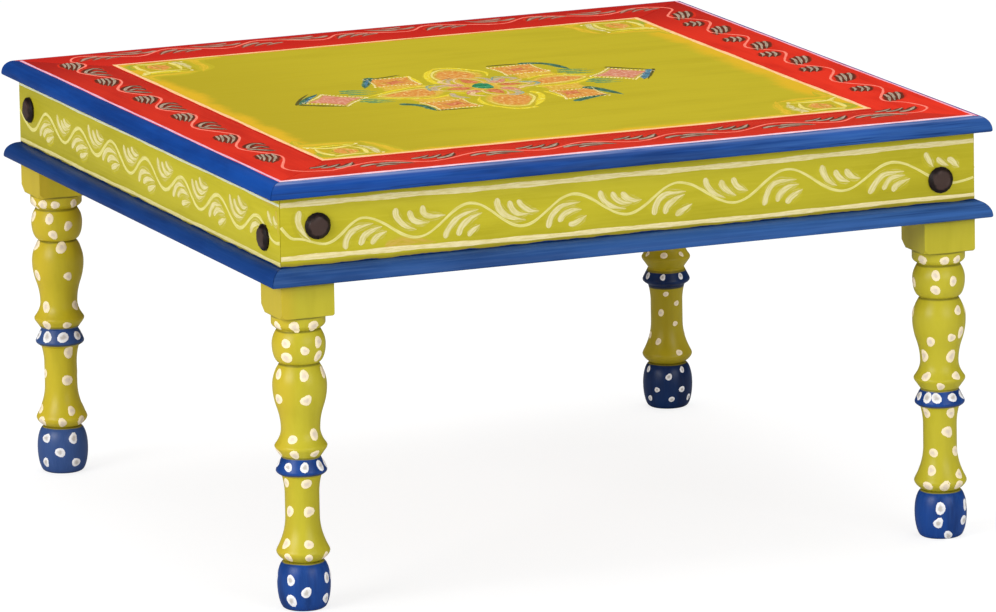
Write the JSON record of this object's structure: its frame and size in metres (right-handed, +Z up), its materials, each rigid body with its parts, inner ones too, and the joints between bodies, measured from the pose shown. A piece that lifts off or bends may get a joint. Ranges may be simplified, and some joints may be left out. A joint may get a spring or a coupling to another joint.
{
  "type": "low table",
  "caption": "Square low table with a framed, round-edged top, a mitred apron on a moulded base frame, turned legs with ball feet, and iron studs.",
  "frame": {"origin": "on the floor under the middle of the table", "axes": "+Z up; +X to the right along the front; -Y to the front"},
  "size_m": [0.6, 0.6, 0.3355],
  "materials": {
    "field_paint": "brushed yellow-green oil paint on wood, soft sheen",
    "border_paint": "brushed vermilion oil paint on wood, soft sheen",
    "apron_paint": "brushed yellow-green oil paint on wood, soft sheen",
    "moulding_paint": "streaky cobalt blue oil paint on wood, soft gloss",
    "leg_paint": "brushed yellow-green oil paint on turned wood, soft gloss",
    "bare_wood": "planed, unfinished",
    "forged_iron": "hammered, dark brown patina",
    "screw_steel": "dull zinc"
  },
  "bodies": {
    "root": {"top_panel": "field_paint", "top_rail_front": "border_paint", "apron_front": "apron_paint", "base_rail_front": "moulding_paint", "cleat_front": "bare_wood", "stud_front_left": "forged_iron", "cleat_screw_front_left": "screw_steel", "base_nail_front_left": "screw_steel", "stud_front_right": "forged_iron", "cleat_screw_front_right": "screw_steel", "base_nail_front_right": "screw_steel", "top_rail_right": "border_paint", "apron_right": "apron_paint", "base_rail_right": "moulding_paint", "cleat_right": "bare_wood", "stud_right_front": "forged_iron", "cleat_screw_right_front": "screw_steel", "base_nail_right_front": "screw_steel", "stud_right_back": "forged_iron", "cleat_screw_right_back": "screw_steel", "base_nail_right_back": "screw_steel", "top_rail_back": "border_paint", "apron_back": "apron_paint", "base_rail_back": "moulding_paint", "cleat_back": "bare_wood", "stud_back_right": "forged_iron", "cleat_screw_back_right": "screw_steel", "base_nail_back_right": "screw_steel", "stud_back_left": "forged_iron", "cleat_screw_back_left": "screw_steel", "base_nail_back_left": "screw_steel", "top_rail_left": "border_paint", "apron_left": "apron_paint", "base_rail_left": "moulding_paint", "cleat_left": "bare_wood", "stud_left_back": "forged_iron", "cleat_screw_left_back": "screw_steel", "base_nail_left_back": "screw_steel", "stud_left_front": "forged_iron", "cleat_screw_left_front": "screw_steel", "base_nail_left_front": "screw_steel", "leg_front_left": "leg_paint", "leg_front_right": "leg_paint", "leg_back_right": "leg_paint", "leg_back_left": "leg_paint", "batten_left": "bare_wood", "batten_screw_left_front": "screw_steel", "batten_screw_left_back": "screw_steel", "batten_right": "bare_wood", "batten_screw_right_front": "screw_steel", "batten_screw_right_back": "screw_steel"}
  },
  "joints": []
}
